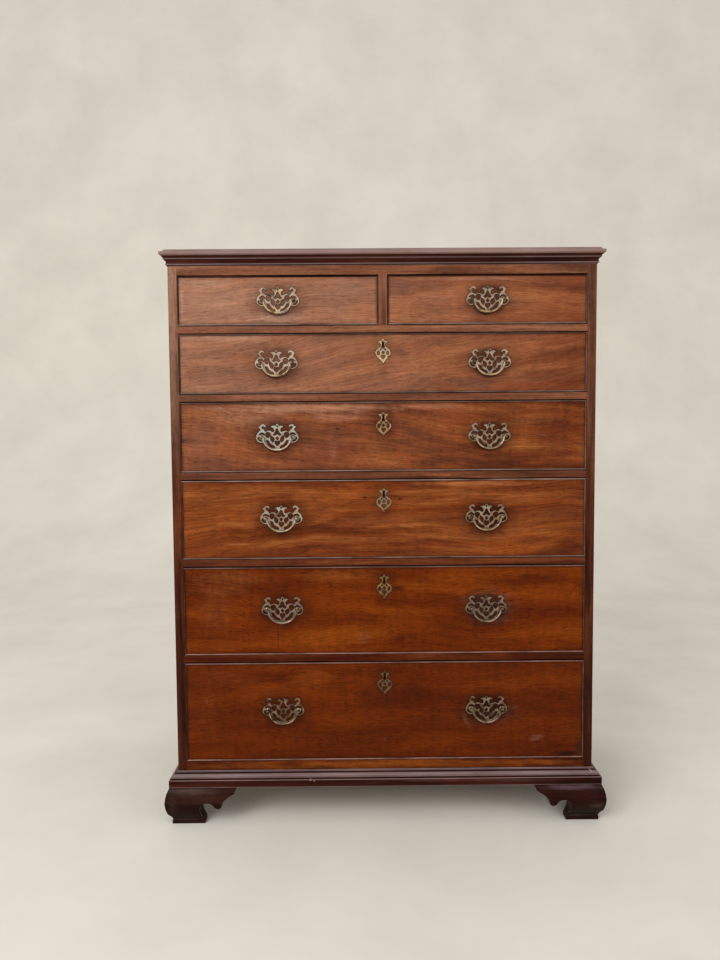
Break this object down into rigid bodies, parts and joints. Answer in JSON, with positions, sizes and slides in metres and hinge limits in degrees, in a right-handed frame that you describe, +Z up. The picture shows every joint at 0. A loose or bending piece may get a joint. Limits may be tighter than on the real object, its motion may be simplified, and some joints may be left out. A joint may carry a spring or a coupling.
{
  "type": "tall chest of drawers",
  "caption": "Tall chest: short drawers over long graduated ones, moulded top and base, ogee bracket feet, pierced brass plates with swinging bails, and drawer locks.",
  "frame": {"origin": "on the floor, in the middle of the box that the whole chest fills", "axes": "+Z up, the front faces -Y, +X to the right of someone facing the front"},
  "size_m": [1.098, 0.529, 1.417],
  "materials": {
    "mahogany": "old wax over worn polish",
    "secondary_wood": "planed, unfinished",
    "brass": "dull, tarnished",
    "steel": "oxidised"
  },
  "bodies": {
    "carcase": {"case_side_left": "mahogany", "case_side_right": "mahogany", "case_bottom": "secondary_wood", "back_boards": "secondary_wood", "drawer_rails": "mahogany", "top_divider": "mahogany", "dust_boards": "secondary_wood", "runners_and_stops": "secondary_wood", "top_board": "mahogany", "cornice_moulding": "mahogany", "base_moulding": "mahogany", "foot_front_left": "mahogany", "foot_front_right": "mahogany", "foot_rear_left": "mahogany", "foot_rear_right": "mahogany"},
    "drawer_1_left": {"drawer_1_left_front": "mahogany", "drawer_1_left_box": "secondary_wood", "drawer_1_left_bead": "mahogany", "drawer_1_left_brasses": "brass"},
    "bail_1_left": {"bail_1_left": "brass"},
    "drawer_1_right": {"drawer_1_right_front": "mahogany", "drawer_1_right_box": "secondary_wood", "drawer_1_right_bead": "mahogany", "drawer_1_right_brasses": "brass"},
    "bail_1_right": {"bail_1_right": "brass"},
    "drawer_2": {"drawer_2_front": "mahogany", "drawer_2_box": "secondary_wood", "drawer_2_bead": "mahogany", "drawer_2_brasses": "brass"},
    "bail_2_left": {"bail_2_left": "brass"},
    "bail_2_right": {"bail_2_right": "brass"},
    "lock_bolt_2": {"lock_bolt_2": "steel"},
    "drawer_3": {"drawer_3_front": "mahogany", "drawer_3_box": "secondary_wood", "drawer_3_bead": "mahogany", "drawer_3_brasses": "brass"},
    "bail_3_left": {"bail_3_left": "brass"},
    "bail_3_right": {"bail_3_right": "brass"},
    "lock_bolt_3": {"lock_bolt_3": "steel"},
    "drawer_4": {"drawer_4_front": "mahogany", "drawer_4_box": "secondary_wood", "drawer_4_bead": "mahogany", "drawer_4_brasses": "brass"},
    "bail_4_left": {"bail_4_left": "brass"},
    "bail_4_right": {"bail_4_right": "brass"},
    "lock_bolt_4": {"lock_bolt_4": "steel"},
    "drawer_5": {"drawer_5_front": "mahogany", "drawer_5_box": "secondary_wood", "drawer_5_bead": "mahogany", "drawer_5_brasses": "brass"},
    "bail_5_left": {"bail_5_left": "brass"},
    "bail_5_right": {"bail_5_right": "brass"},
    "lock_bolt_5": {"lock_bolt_5": "steel"},
    "drawer_6": {"drawer_6_front": "mahogany", "drawer_6_box": "secondary_wood", "drawer_6_bead": "mahogany", "drawer_6_brasses": "brass"},
    "bail_6_left": {"bail_6_left": "brass"},
    "bail_6_right": {"bail_6_right": "brass"},
    "lock_bolt_6": {"lock_bolt_6": "steel"}
  },
  "joints": [
    {"name": "drawer_1_left_slide", "type": "slide", "parent": "carcase", "child": "drawer_1_left", "axis": [0, -1, 0], "range_m": [0, 0.36]},
    {"name": "bail_1_left_swing", "type": "hinge", "parent": "drawer_1_left", "child": "bail_1_left", "pos_m": [-0.25425, -0.2465, 1.294], "axis": [-1, 0, 0], "range_deg": [0, 110]},
    {"name": "drawer_1_right_slide", "type": "slide", "parent": "carcase", "child": "drawer_1_right", "axis": [0, -1, 0], "range_m": [0, 0.36]},
    {"name": "bail_1_right_swing", "type": "hinge", "parent": "drawer_1_right", "child": "bail_1_right", "pos_m": [0.25425, -0.2465, 1.294], "axis": [-1, 0, 0], "range_deg": [0, 110]},
    {"name": "drawer_2_slide", "type": "slide", "parent": "carcase", "child": "drawer_2", "axis": [0, -1, 0], "range_m": [0, 0.36]},
    {"name": "bail_2_left_swing", "type": "hinge", "parent": "drawer_2", "child": "bail_2_left", "pos_m": [-0.26, -0.2465, 1.143], "axis": [-1, 0, 0], "range_deg": [0, 110]},
    {"name": "bail_2_right_swing", "type": "hinge", "parent": "drawer_2", "child": "bail_2_right", "pos_m": [0.26, -0.2465, 1.143], "axis": [-1, 0, 0], "range_deg": [0, 110]},
    {"name": "lock_bolt_2_throw", "type": "slide", "parent": "drawer_2", "child": "lock_bolt_2", "axis": [0, 0, 1], "range_m": [0, 0.0065]},
    {"name": "drawer_3_slide", "type": "slide", "parent": "carcase", "child": "drawer_3", "axis": [0, -1, 0], "range_m": [0, 0.36]},
    {"name": "bail_3_left_swing", "type": "hinge", "parent": "drawer_3", "child": "bail_3_left", "pos_m": [-0.26, -0.2465, 0.964], "axis": [-1, 0, 0], "range_deg": [0, 110]},
    {"name": "bail_3_right_swing", "type": "hinge", "parent": "drawer_3", "child": "bail_3_right", "pos_m": [0.26, -0.2465, 0.964], "axis": [-1, 0, 0], "range_deg": [0, 110]},
    {"name": "lock_bolt_3_throw", "type": "slide", "parent": "drawer_3", "child": "lock_bolt_3", "axis": [0, 0, 1], "range_m": [0, 0.0065]},
    {"name": "drawer_4_slide", "type": "slide", "parent": "carcase", "child": "drawer_4", "axis": [0, -1, 0], "range_m": [0, 0.36]},
    {"name": "bail_4_left_swing", "type": "hinge", "parent": "drawer_4", "child": "bail_4_left", "pos_m": [-0.253, -0.2465, 0.764], "axis": [-1, 0, 0], "range_deg": [0, 110]},
    {"name": "bail_4_right_swing", "type": "hinge", "parent": "drawer_4", "child": "bail_4_right", "pos_m": [0.253, -0.2465, 0.764], "axis": [-1, 0, 0], "range_deg": [0, 110]},
    {"name": "lock_bolt_4_throw", "type": "slide", "parent": "drawer_4", "child": "lock_bolt_4", "axis": [0, 0, 1], "range_m": [0, 0.0065]},
    {"name": "drawer_5_slide", "type": "slide", "parent": "carcase", "child": "drawer_5", "axis": [0, -1, 0], "range_m": [0, 0.36]},
    {"name": "bail_5_left_swing", "type": "hinge", "parent": "drawer_5", "child": "bail_5_left", "pos_m": [-0.253, -0.2465, 0.5365], "axis": [-1, 0, 0], "range_deg": [0, 110]},
    {"name": "bail_5_right_swing", "type": "hinge", "parent": "drawer_5", "child": "bail_5_right", "pos_m": [0.253, -0.2465, 0.5365], "axis": [-1, 0, 0], "range_deg": [0, 110]},
    {"name": "lock_bolt_5_throw", "type": "slide", "parent": "drawer_5", "child": "lock_bolt_5", "axis": [0, 0, 1], "range_m": [0, 0.0065]},
    {"name": "drawer_6_slide", "type": "slide", "parent": "carcase", "child": "drawer_6", "axis": [0, -1, 0], "range_m": [0, 0.36]},
    {"name": "bail_6_left_swing", "type": "hinge", "parent": "drawer_6", "child": "bail_6_left", "pos_m": [-0.254, -0.2465, 0.282], "axis": [-1, 0, 0], "range_deg": [0, 110]},
    {"name": "bail_6_right_swing", "type": "hinge", "parent": "drawer_6", "child": "bail_6_right", "pos_m": [0.254, -0.2465, 0.282], "axis": [-1, 0, 0], "range_deg": [0, 110]},
    {"name": "lock_bolt_6_throw", "type": "slide", "parent": "drawer_6", "child": "lock_bolt_6", "axis": [0, 0, 1], "range_m": [0, 0.0065]}
  ]
}
